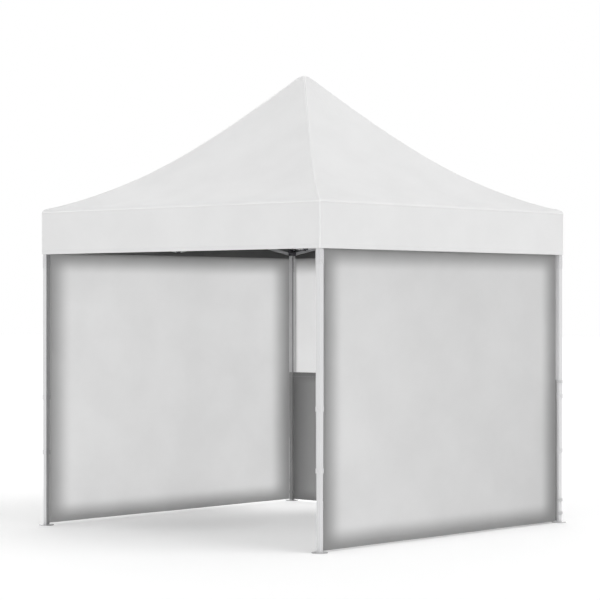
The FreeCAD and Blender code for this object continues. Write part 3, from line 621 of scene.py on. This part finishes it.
NU, NV = 72, 84
us = np.sin(np.linspace(-1, 1, NU + 1) * math.pi / 2 * 0.9) / math.sin(math.pi / 2 * 0.9)
ts = np.concatenate([
    [0.003, 0.010, 0.018, 0.028, 0.040, 0.055, 0.075],
    np.linspace(0.10, 1.40, NV - 22),
    np.linspace(1.41, 1.43, 3), np.linspace(1.4345, 1.466, 9), [1.4685, 1.4708, EAVE],
])
rows_rest, rows_fold, uv_rows, seam_rows = [], [], [], []
arc = np.concatenate([[0], np.cumsum(np.hypot(np.diff(ts), np.diff(hermite(ROOF_T, ROOF_Z, ts))))])
for j, t in enumerate(ts):
    ring_r, ring_f, ring_uv, ring_s = [], [], [], []
    for k in range(4):
        u = us[:-1]
        tt = np.full_like(u, t)
        # round the ridge: cloth can't turn a knife edge
        r = min(0.016, t * 0.35)
        corner = np.clip((np.abs(u) * t - (t - r)) / max(r, 1e-6), 0, 1)
        pull = (1 - np.sqrt(np.maximum(0, 1 - 0.5 * corner ** 2))) * r * 0.9
        p = roof_point(u, tt)
        p[:, 1] += pull * 0.5
        p[:, 0] -= np.sign(u) * pull * 0.5
        ring_r.append(turn(p, k))
        ring_f.append(turn(fold_roof(u, tt), k))
        ring_uv.append(np.stack([u * t + k * 3.0, np.full_like(u, arc[j])], -1))
        ring_s.append(np.zeros_like(u))
    rows_rest.append(np.concatenate(ring_r))
    rows_fold.append(np.concatenate(ring_f))
    uv_rows.append(np.concatenate(ring_uv))
    seam_rows.append(np.concatenate(ring_s))
nu = 4 * NU
V = np.concatenate(rows_rest)
VF = np.concatenate(rows_fold)
apex = np.array([[0, 0, PEAK_Z - 0.0002]])
F = grid_faces(nu, len(ts), closed=True)
F = [f[::-1] for f in F]
top_i = len(V)
F += [(top_i, i, (i + 1) % nu) for i in range(nu)]
V = np.concatenate([V, apex])
VF = np.concatenate([VF, [[0, 0, FOLD_TOP]]])
roof = mesh_object("roof_cloth", V, F, np.concatenate([np.concatenate(uv_rows), [[0, 0]]]), {"seam": np.concatenate([np.concatenate(seam_rows), [0]])})
roof.data.materials.append(ROOF_CLOTH)
# make sure the normals point up and out
if sum(p.normal.z for p in roof.data.polygons) < 0:
    roof.data.flip_normals()
drive(key(roof, "gather", VF), "leg_se_upper", "X", -DRAW)
thick(roof, 0.0012)
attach(roof, "root")
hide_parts("canopy")


# ------------------------------------------------------------------ ridge tapes, sewn over the four ridges
all_r, all_f, all_faces, all_uv, all_seam, base = [], [], [], [], [], 0
tt = np.concatenate([np.linspace(0.006, 0.08, 8), np.linspace(0.10, 1.43, 90), np.linspace(1.436, 1.4725, 12)])
for k in range(4):
    for sgn in (-1.0, 1.0):
        # half tape on each panel, joined at the ridge
        w = 0.015
        cols_r, cols_f, colu = [], [], []
        offs = np.array([0.0, 0.25, 0.62, 0.74, 0.86, 1.0])
        crown = np.array([1.1, 1.0, 0.85, 0.55, 0.8, 0.1])
        for o_, c_ in zip(offs, crown):
            uu = sgn * (1 - np.minimum(o_ * w / tt, 0.9))
            p = roof_point(uu, tt, 0.0)
            # normal of the panel in its own section
            dz = (hermite(ROOF_T, ROOF_Z, tt + 1e-3) - hermite(ROOF_T, ROOF_Z, np.maximum(tt - 1e-3, 0))) / 2e-3
            nrm = np.stack([np.zeros_like(tt), dz, np.ones_like(tt)], -1)
            nrm /= np.linalg.norm(nrm, axis=1)[:, None]
            p = p + nrm * (0.0013 * c_)
            cols_r.append(turn(p, k))
            pf = fold_roof(uu, tt)
            flat = tt < EAVE * OVER
            pf[:, 1] -= np.where(flat, 0.0, 0.0022 * c_)
            pf[:, 2] += np.where(flat, 0.0022 * c_, 0.0)
            cols_f.append(turn(pf, k))
        r = np.stack(cols_r, 1)
        f = np.stack(cols_f, 1)
        n = len(tt)
        faces = grid_faces(len(offs), n, base=base)
        if sgn > 0:
            faces = [q[::-1] for q in faces]
        all_faces += faces
        base += n * len(offs)
        all_r.append(r.reshape(-1, 3))
        all_f.append(f.reshape(-1, 3))
        s = np.concatenate([[0], np.cumsum(np.linalg.norm(np.diff(r[:, 0], axis=0), axis=1))])
        all_uv.append(np.stack(np.broadcast_arrays(offs[None, :] * w * sgn, s[:, None]), -1).reshape(-1, 2))
        all_seam.append(np.broadcast_to((np.abs(offs - 0.74) < 0.01).astype(float)[None, :], (n, len(offs))).ravel())
tape = mesh_object("ridge_tapes", np.concatenate(all_r), all_faces, np.concatenate(all_uv), {"seam": np.concatenate(all_seam)})
tape.data.materials.append(TAPE)
drive(key(tape, "gather", np.concatenate(all_f)), "leg_se_upper", "X", -DRAW)
thick(tape, 0.0008)
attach(tape, "root")


# ------------------------------------------------------------------ valance
def loop(half, per_side, radius):
    """Points round a square with rounded corners, starting mid west-to-south; returns points, outward normals, side index and -1..1 along each side."""
    pts, nrm, us_, ks = [], [], [], []
    for k in range(4):
        line = np.linspace(-1, 1, per_side)
        line = np.sign(line) * (1 - (1 - np.abs(line)) ** 1.0)
        x = line * (half - radius)
        p = np.stack([x, np.full_like(x, -half), np.zeros_like(x)], -1)
        n = np.tile([[0.0, -1.0, 0.0]], (len(x), 1))
        # corner arc after the side, towards +X
        a = np.linspace(0, math.pi / 2, 6)[1:-1]
        cp = np.stack([half - radius + radius * np.sin(a), -(half - radius) - radius * np.cos(a), np.zeros_like(a)], -1)
        cn = np.stack([np.sin(a), -np.cos(a), np.zeros_like(a)], -1)
        pts.append(turn(np.concatenate([p, cp]), k))
        nrm.append(turn(np.concatenate([n, cn]), k))
        us_.append(np.concatenate([line, np.ones(len(a))]))
        ks.append(np.full(len(x) + len(a), k))
    return np.concatenate(pts), np.concatenate(nrm), np.concatenate(us_), np.concatenate(ks)


def fold_loop(u, k, depth, extra=0.0):
    """Where a point of the valance goes when shut: deep box pleats between the leg heads. depth is 0 at the eave and 1 at the hem."""
    half = FOLD_C + 0.0265 + extra
    pleats = 9
    ph = u * math.pi * pleats
    x = u * half + 0.007 * np.sin(2 * ph) * (0.3 + 0.7 * depth) * (1 - u ** 8)
    y = -(half + (0.004 + 0.016 * depth) * (0.5 + 0.5 * np.cos(ph)) * (1 - u ** 8))
    p = np.stack([x, y, np.zeros_like(x)], -1)
    out = np.empty_like(p)
    for kk in range(4):
        sel = k == kk
        out[sel] = turn(p[sel], kk)
    return out


PER = 150
L_pts, L_nrm, L_u, L_k = loop(EAVE, PER, CORNER)
seg = np.linalg.norm(np.roll(L_pts, -1, 0) - L_pts, axis=1)
L_s = np.concatenate([[0], np.cumsum(seg)])[:-1]
HEM = 0.028
prof = [(0.0, EAVE_Z + 0.0002, 0), (0.0006, EAVE_Z - 0.004, 0), (0.0004, EAVE_Z - 0.010, 1), (0.0002, EAVE_Z - 0.014, 0)]
for z in np.linspace(EAVE_Z - 0.022, VAL_Z + HEM + 0.012, 18):
    prof.append((0.0, z, 0))
prof += [(0.0, VAL_Z + HEM + 0.004, 0), (-0.0001, VAL_Z + HEM + 0.001, 1), (0.0011, VAL_Z + HEM - 0.0015, 0), (0.0013, VAL_Z + HEM * 0.55, 0),
         (0.0013, VAL_Z + 0.006, 0), (0.0006, VAL_Z + 0.0012, 0), (-0.0006, VAL_Z + 0.0002, 0), (-0.0022, VAL_Z + 0.0012, 0), (-0.0028, VAL_Z + 0.006, 0),
         (-0.0028, VAL_Z + HEM - 0.002, 0)]


def hang(s, u, depth):
    """How far the valance's cloth stands off its line: shallow swells, none at the corners."""
    w = (1 - np.abs(u) ** 6) * depth ** 1.3
    return w * (0.0022 + 0.0018 * np.sin(s * 5.1 + 0.6) + 0.0012 * np.sin(s * 11.3 + 2.0) + 0.0005 * np.sin(s * 27.0))


Vr, Vf, Vuv, Vs = [], [], [], []
run = 0.0
for i, (off, z, sm) in enumerate(prof):
    depth = (EAVE_Z - z) / (EAVE_Z - VAL_Z)
    d = max(0.0, min(1.0, depth))
    o_ = off + hang(L_s, L_u, d)
    p = L_pts + L_nrm * o_[:, None]
    p[:, 2] = z
    # upright corner seam: a small welt on each corner
    Vr.append(p)
    f = fold_loop(L_u, L_k, d, off)
    f[:, 2] = z
    Vf.append(f)
    if i:
        run += math.hypot(prof[i][0] - prof[i - 1][0], prof[i][1] - prof[i - 1][1])
    Vuv.append(np.stack([L_s, np.full_like(L_s, run)], -1))
    Vs.append(np.full_like(L_s, float(sm)))
faces = grid_faces(len(L_pts), len(prof), closed=True)
val = mesh_object("valance_cloth", np.concatenate(Vr), [f[::-1] for f in faces], np.concatenate(Vuv), {"seam": np.concatenate(Vs)})
val.data.materials.append(VAL_CLOTH)
drive(key(val, "gather", np.concatenate(Vf)), "leg_se_upper", "X", -DRAW)
thick(val, 0.0011)
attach(val, "root")

# the welt where roof and valance are sewn together
path = L_pts + L_nrm * 0.0016
path[:, 2] = EAVE_Z + 0.001
fpath = fold_loop(L_u, L_k, 0.0, 0.0016)
fpath[:, 2] = EAVE_Z + 0.001
v1, f1, ring = tube_along(path, 0.0036, 8, closed=True)
uv = np.stack([np.tile(np.arange(8) * 0.0028, len(path)), np.repeat(L_s, 8)], -1)
welt = mesh_object("eave_welt", v1, f1, uv, {"seam": np.zeros(len(v1))})
welt.data.materials.append(TAPE)
drive(key(welt, "gather", (np.repeat(fpath, 8, 0) + ring)), "leg_se_upper", "X", -DRAW)
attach(welt, "root")

# upright seams at the four corners of the valance
vv, ff, gg, uu_, base = [], [], [], [], 0
zs = np.linspace(VAL_Z + 0.002, EAVE_Z - 0.002, 24)
for k in range(4):
    e = EAVE - CORNER * (1 - math.sqrt(0.5)) + 0.0006
    p = turn(np.stack([np.full_like(zs, e), np.full_like(zs, -e), zs], -1), k)
    ef = FOLD_C + 0.0265 + 0.0015
    g = turn(np.stack([np.full_like(zs, ef), np.full_like(zs, -ef), zs], -1), k)
    v1, f1, ring = tube_along(p, 0.0030, 8, up=turn(np.array([1.0, -1.0, 0.0]), k))
    vv.append(v1)
    gg.append(np.repeat(g, 8, 0) + ring)
    ff += [tuple(i + base for i in f) for f in f1]
    uu_.append(np.stack([np.tile(np.arange(8) * 0.0023, len(p)), np.repeat(zs, 8)], -1))
    base += len(v1)
cs = mesh_object("valance_corner_seams", np.concatenate(vv), ff, np.concatenate(uu_), {"seam": np.zeros(base)})
cs.data.materials.append(TAPE)
drive(key(cs, "gather", np.concatenate(gg)), "leg_se_upper", "X", -DRAW)
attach(cs, "root")


# ------------------------------------------------------------------ walls
JOG = 0.0235           # from the half wall's sheet to the inner face of its legs


def wall(name, k, node, plane, x_half, z0, z1, mat, hem_side=0.030, hem_low=0.045, hem_top=0.030, edge_top=None, notch=None, pleats=13, seed=0, fade=(0.20, 0.15), inward=False, valance_shade_z=None, flap=0.0, flap_low=0.0, mid=0.0):
    """A flat curtain with sewn hems all round. It gathers into pleats between the legs, and its foot rises with each leg's tubes.
    It is built on the south side and turned k quarter turns."""
    xs = np.unique(np.round(np.concatenate([
        np.linspace(-x_half, x_half, 160),
        [s * (x_half - hem_side + d) for s in (-1, 1) for d in (-0.0035, -0.0015, 0.0, 0.0015)],
        [s * (x_half - d) for s in (-1, 1) for d in (0.0008, 0.003)],
        [s * (x_half + d) for s, f in ((-1, flap_low), (1, flap)) for d in (0.002, 0.012, JOG - 0.002, JOG, JOG + 0.002, f - 0.012, f - 0.0085, f - 0.0065, f - 0.003, f - 0.0008, f)] if flap else []]), 5))
    zs = np.unique(np.round(np.concatenate([
        np.linspace(z0, z1, 120 if z1 - z0 > 1.5 else 60),
        [z0 + hem_low + d for d in (-0.0015, 0.0, 0.0015, 0.0035)], [z1 - hem_top + d for d in (-0.0035, -0.0015, 0.0, 0.0015)],
        [z0 + 0.0008, z0 + 0.003, z1 - 0.0008, z1 - 0.003],
        [] if valance_shade_z is None else [valance_shade_z - 0.001, valance_shade_z + 0.001]]), 5))
    X, Z = np.meshgrid(xs, zs)
    X = X.copy()
    if notch is not None:
        top = Z > notch
        X = np.where(top, X * (x_half - 0.004) / x_half, X)
    # a flap turns in towards the middle and then laps over the inner face of the leg
    past = np.maximum(0.0, np.abs(X) - x_half)
    sign = np.sign(X)
    jog = np.minimum(past, JOG)
    X = sign * (np.minimum(np.abs(X), x_half) + np.maximum(0.0, past - JOG))
    a = x_half + np.where(sign > 0, flap, flap_low) - (np.minimum(np.abs(X), x_half) + past) if flap else x_half - np.abs(X)
    if flap:
        hem_side = 0.008
    b = Z - z0
    c = z1 - Z
    # height of the cloth over its own plane: hems are two layers thick
    hem = np.maximum.reduce([smooth((hem_side - a) / 0.0015 + 0.5), smooth((hem_low - b) / 0.0015 + 0.5), smooth((hem_top - c) / 0.0015 + 0.5)])
    seam = np.maximum.reduce([np.exp(-((a - hem_side + 0.002) / 0.0014) ** 2), np.exp(-((b - hem_low + 0.002) / 0.0014) ** 2), np.exp(-((c - hem_top + 0.002) / 0.0014) ** 2)])
    frac = 1 - (Z - z0) / (z1 - z0)
    ph = seed * 1.7
    into = x_half - np.minimum(np.abs(X), x_half)
    free = smooth(into / 0.35)
    wave = free * (0.0016 + 0.0034 * frac) * (np.sin(X * 4.3 + ph) + 0.5 * np.sin(X * 9.1 + 2.1 * ph + 0.6 * Z) + 0.25 * np.sin(X * 17.0 - 0.8 * Z + ph))
    wave = wave + 0.0009 * np.sin(Z * 6.0 + 1.3 * X) * free
    Y = -(plane - jog + (-1 if inward else 1) * (wave * 0.7 + 0.0007 * hem))
    rest = np.stack([X + mid, Y, Z], -1)
    # painted shade: the edge value darkens the cloth's colour within fade of its sides and foot and below edge_top, as
    # if shaded by the legs, valance and floor; a flap over a leg gets 0.9
    d_side = ease(into / fade[0])
    e_top = (edge_top if edge_top is not None else z1)
    d_top = ease((e_top - Z) / fade[1])
    d_low = ease(b / fade[1])
    edge = np.minimum(1.0, d_side * d_top * d_low)
    if valance_shade_z is not None:
        # painted shade: above this height the wall's colour is much darker, standing in for the shade behind the
        # valance
        edge = np.where(Z > valance_shade_z, -1.0, edge)
    edge = np.where(past > 0.001, 0.9, edge)
    # folded
    u = np.clip(X / x_half, -1, 1)
    half = FOLD_C - 0.0225
    fp = plane - DRAW
    amp = 0.010 + 0.018 * smooth((VAL_Z - 0.02 - Z) / 0.12)
    phs = u * math.pi * pleats
    fx = u * half + 0.0045 * np.sin(2 * phs) * (1 - u ** 8)
    fy = -(fp + amp * (0.5 - 0.5 * np.cos(phs)) * (1 - u ** 10) - 0.0005)
    if inward:
        fy = -(fp - 0.35 * amp * (0.5 - 0.5 * np.cos(phs)) * (1 - u ** 10))
    fx = np.where(past > 0, X - sign * DRAW, fx)
    fy = np.where(past > 0, Y + DRAW, fy)
    gather = np.stack([fx, fy, z0 + (Z - z0) * (SLUMP - z0) / (z1 - z0) if inward else Z], -1)
    # foot rising with each leg: the cloth rucks up in shallow rolls
    keys = {}
    for side_, s in (("a", 1.0), ("b", -1.0)):
        w = np.clip(0.5 + 0.5 * s * u, 0, 1)
        share = frac ** 1.0
        if z1 - z0 < 1.5:
            share = share * min(1.0, (z1 - z0 - 0.24) / LIFT)
        dz = LIFT * share * w
        roll = 0.010 * np.sin(Z * 2 * math.pi / 0.17) * smooth(frac * 2.2) * w * (1 - np.abs(u) ** 10)
        q = rest.copy()
        q[..., 2] += dz
        q[..., 1] -= (0.010 * smooth(frac * 2.2) * w * (1 - np.abs(u) ** 10) + roll) * (-0.3 if inward else 1.0)
        keys[side_] = q
    P = turn(rest.reshape(-1, 3), k)
    faces = grid_faces(len(xs), len(zs))
    uv = np.stack([(X + sign * jog).ravel() + 5 * k, Z.ravel()], -1)
    ob = mesh_object(name, P, faces, uv, {"seam": seam, "edge": edge})
    ob.data.materials.append(mat)
    drive(key(ob, "gather", turn(gather.reshape(-1, 3), k)), "leg_se_upper", "X", -DRAW)
    # on the south side the leg at +X is this side's own, and the one at -X belongs to the side before it
    drive(key(ob, "lift_a", turn(keys["a"].reshape(-1, 3), k)), "leg_%s_lower" % LEGS[k], "Z", LIFT)
    drive(key(ob, "lift_b", turn(keys["b"].reshape(-1, 3), k)), "leg_%s_lower" % LEGS[(k + 3) % 4], "Z", LIFT)
    thick(ob, 0.0009, 0.0)
    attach(ob, "root")
    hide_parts(node)
    return ob


# fade sets how far each wall's painted edge shade reaches in from its sides and up from its foot; above VAL_Z + 0.012
# the painted shade is darkest
for k, side in enumerate(SIDES[:3]):
    lo_, hi_ = WALL_SPAN[k]
    wall("wall_%s_cloth" % side, k, "wall_" + side, WALL_Y, (hi_ - lo_) / 2, WALL_Z0, WALL_Z1, WALL_CLOTH, mid=(hi_ + lo_) / 2,
         edge_top=VAL_Z + 0.004, notch=VAL_Z - 0.005, seed=k + 1, valance_shade_z=VAL_Z + 0.012, fade=((0.205, 0.03, 0.245)[k], 0.152))
wall("half_wall_east_cloth", 1, "half_wall_east", LEG_C - 0.00075, LEG_C - 0.0225, HALF_Z0, HALF_Z1, HALF_CLOTH,
     hem_top=0.040, pleats=11, seed=5, fade=(0.22, 0.10), inward=True, flap=JOG + 0.0300, flap_low=JOG + 0.0150)


# ------------------------------------------------------------------ straps round the legs
def strap(name, leg, body, z, high, inner, mat, tail=True, t=0.0016):
    """A webbing loop round a square tube, with a sewn overlap."""
    k = LEGS.index(leg)
    r = 0.0035
    hs = inner + t / 2
    pts, _, _, _ = loop(hs, 10, r)
    n = len(pts)
    zz = np.array([0.0, 0.0012, high * 0.3, high * 0.5, high * 0.7, high - 0.0012, high])
    bulge = np.array([-0.0003, 0.0, 0.0002, 0.0003, 0.0002, 0.0, -0.0003])
    nrm = pts / np.linalg.norm(pts, axis=1)[:, None]
    V_ = []
    for z_, b_ in zip(zz, bulge):
        q = pts + nrm * b_
        q[:, 2] = z + z_
        V_.append(q)
    V_ = np.concatenate(V_)
    s = np.concatenate([[0], np.cumsum(np.linalg.norm(np.roll(pts, -1, 0) - pts, axis=1))])[:-1]
    uv = np.concatenate([np.stack([s, np.full_like(s, z_)], -1) for z_ in zz])
    F_ = [f[::-1] for f in grid_faces(n, len(zz), closed=True)]
    base_ = len(V_)
    if tail:
        # overlap, on the side that faces the wall
        m_ = 9
        xx = np.linspace(-0.012, 0.016, m_)
        T = []
        for z_, b_ in zip(zz, bulge):
            T.append(np.stack([xx, np.full_like(xx, -(hs + t + 0.0002 + b_)) - 0.0012 * smooth((xx - 0.010) / 0.006), np.full_like(xx, z + 0.001 + z_ * (high - 0.002) / high)], -1))
        T = np.concatenate(T)
        V_ = np.concatenate([V_, T])
        uv = np.concatenate([uv, np.stack([np.tile(xx, len(zz)) + 0.3, np.repeat(zz, m_)], -1)])
        F_ += grid_faces(m_, len(zz), base=base_)
    V_ = turn(V_ + np.array([LEG_C, -LEG_C, 0]), k)
    ob = mesh_object(name, V_, F_, uv)
    ob.data.materials.append(mat)
    thick(ob, t, 0.0)
    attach(ob, body)
    return ob


for leg in LEGS:
    strap("wall_cuff_%s" % leg, leg, "leg_%s_upper" % leg, 2.036, 0.095, 0.0202, WEB, tail=False)
for leg in ("se", "ne"):
    strap("half_wall_top_strap_%s" % leg, leg, "leg_%s_upper" % leg, HALF_Z1 - 0.026, 0.022, 0.0202, HALF_WEB)
    strap("half_wall_mid_strap_%s" % leg, leg, "leg_%s_lower" % leg, 0.170, 0.022, 0.0203, HALF_WEB)
    strap("half_wall_low_strap_%s" % leg, leg, "leg_%s_lower" % leg, 0.065, 0.022, 0.0213, HALF_WEB)

# ------------------------------------------------------------------ stage, light and camera
floor = mesh_object("studio_floor", [(-80, -80, 0), (80, -80, 0), (80, 80, 0), (-80, 80, 0)], [(0, 1, 2, 3)], smooth_shade=False)
fm, nt, bsdf = new_material("studio floor")
co = nd(nt, "ShaderNodeTexCoord").outputs["Object"]
fn = noise(nt, co, 40.0, 3.0, 0.5)
nt.links.new(mix_colour(nt, fn, (0.915, 0.915, 0.915), (0.925, 0.925, 0.925)), bsdf.inputs["Base Color"])
bsdf.inputs["Roughness"].default_value = 0.9
bsdf.inputs["Specular IOR Level"].default_value = 0.0
bsdf.inputs["Emission Color"].default_value = (1, 1, 1, 1)


def spot(x, y, r):
    d = nd(nt, "ShaderNodeVectorMath", operation="DISTANCE")
    nt.links.new(co, d.inputs[0])
    d.inputs[1].default_value = (x, y, 0.0)
    return ramp(nt, d.outputs["Value"], 0.0, r, 1.0, 0.0)


# painted light and shadow on the floor: extra emission in a pool round (1.25, 1.15) inside the shelter, and less round
# (-0.6, 0.7), on top of the floor's even glow
painted_light_pool_and_shadow = math_node(nt, "ADD", math_node(nt, "MULTIPLY", spot(1.25, 1.15, 1.2), 0.36), math_node(nt, "MULTIPLY", spot(-0.6, 0.7, 1.05), -0.10))
nt.links.new(math_node(nt, "ADD", painted_light_pool_and_shadow, 0.11), bsdf.inputs["Emission Strength"])
floor.data.materials.append(fm)
floor.location.z = -0.0005

world = bpy.data.worlds.new("studio")
scene.world = world
world.use_nodes = True
bg = world.node_tree.nodes["Background"]
bg.inputs[0].default_value = (1, 1, 1, 1)
bg.inputs[1].default_value = 0.74
# the backdrop itself is seen as plain white
wt = world.node_tree
lp = wt.nodes.new("ShaderNodeLightPath")
bg2 = wt.nodes.new("ShaderNodeBackground")
bg2.inputs[0].default_value = (1, 1, 1, 1)
bg2.inputs[1].default_value = 1.0
mixs = wt.nodes.new("ShaderNodeMixShader")
wt.links.new(lp.outputs["Is Camera Ray"], mixs.inputs[0])
wt.links.new(bg.outputs[0], mixs.inputs[1])
wt.links.new(bg2.outputs[0], mixs.inputs[2])
wt.links.new(mixs.outputs[0], wt.nodes["World Output"].inputs[0])


def sun(name, az, el, strength, angle):
    d = bpy.data.lights.new(name, "SUN")
    d.energy = strength
    d.angle = math.radians(angle)
    o = bpy.data.objects.new(name, d)
    a, e = math.radians(az), math.radians(el)
    back = Vector((math.sin(a) * math.cos(e), -math.cos(a) * math.cos(e), math.sin(e)))
    o.rotation_mode = "QUATERNION"
    o.rotation_quaternion = (-back).to_track_quat("-Z", "Y")
    scene.collection.objects.link(o)
    return o


sun("key", 18, 42, 0.90, 50)
sun("fill", -82, 8, 0.85, 50)
sun("back", 135, 10, 0.98, 50)

cam_d = bpy.data.cameras.new("camera")
cam_d.sensor_width = 36.0
cam_d.lens = 2166.39 / 600 * 36.0
cam_d.clip_end = 300
cam = bpy.data.objects.new("camera", cam_d)
scene.collection.objects.link(cam)
yaw, pitch = math.radians(47.953), math.radians(0.0857)
cam.location = (-12.856, -11.555, 1.7544)
look = Vector((math.sin(yaw) * math.cos(pitch), math.cos(yaw) * math.cos(pitch), math.sin(pitch)))
cam.rotation_mode = "QUATERNION"
cam.rotation_quaternion = look.to_track_quat("-Z", "Y")
cam_d.shift_x = -0.5 / 600
cam_d.shift_y = 0.5 / 600
scene.camera = cam
scene.view_settings.view_transform = "Standard"
scene.view_settings.look = "None"
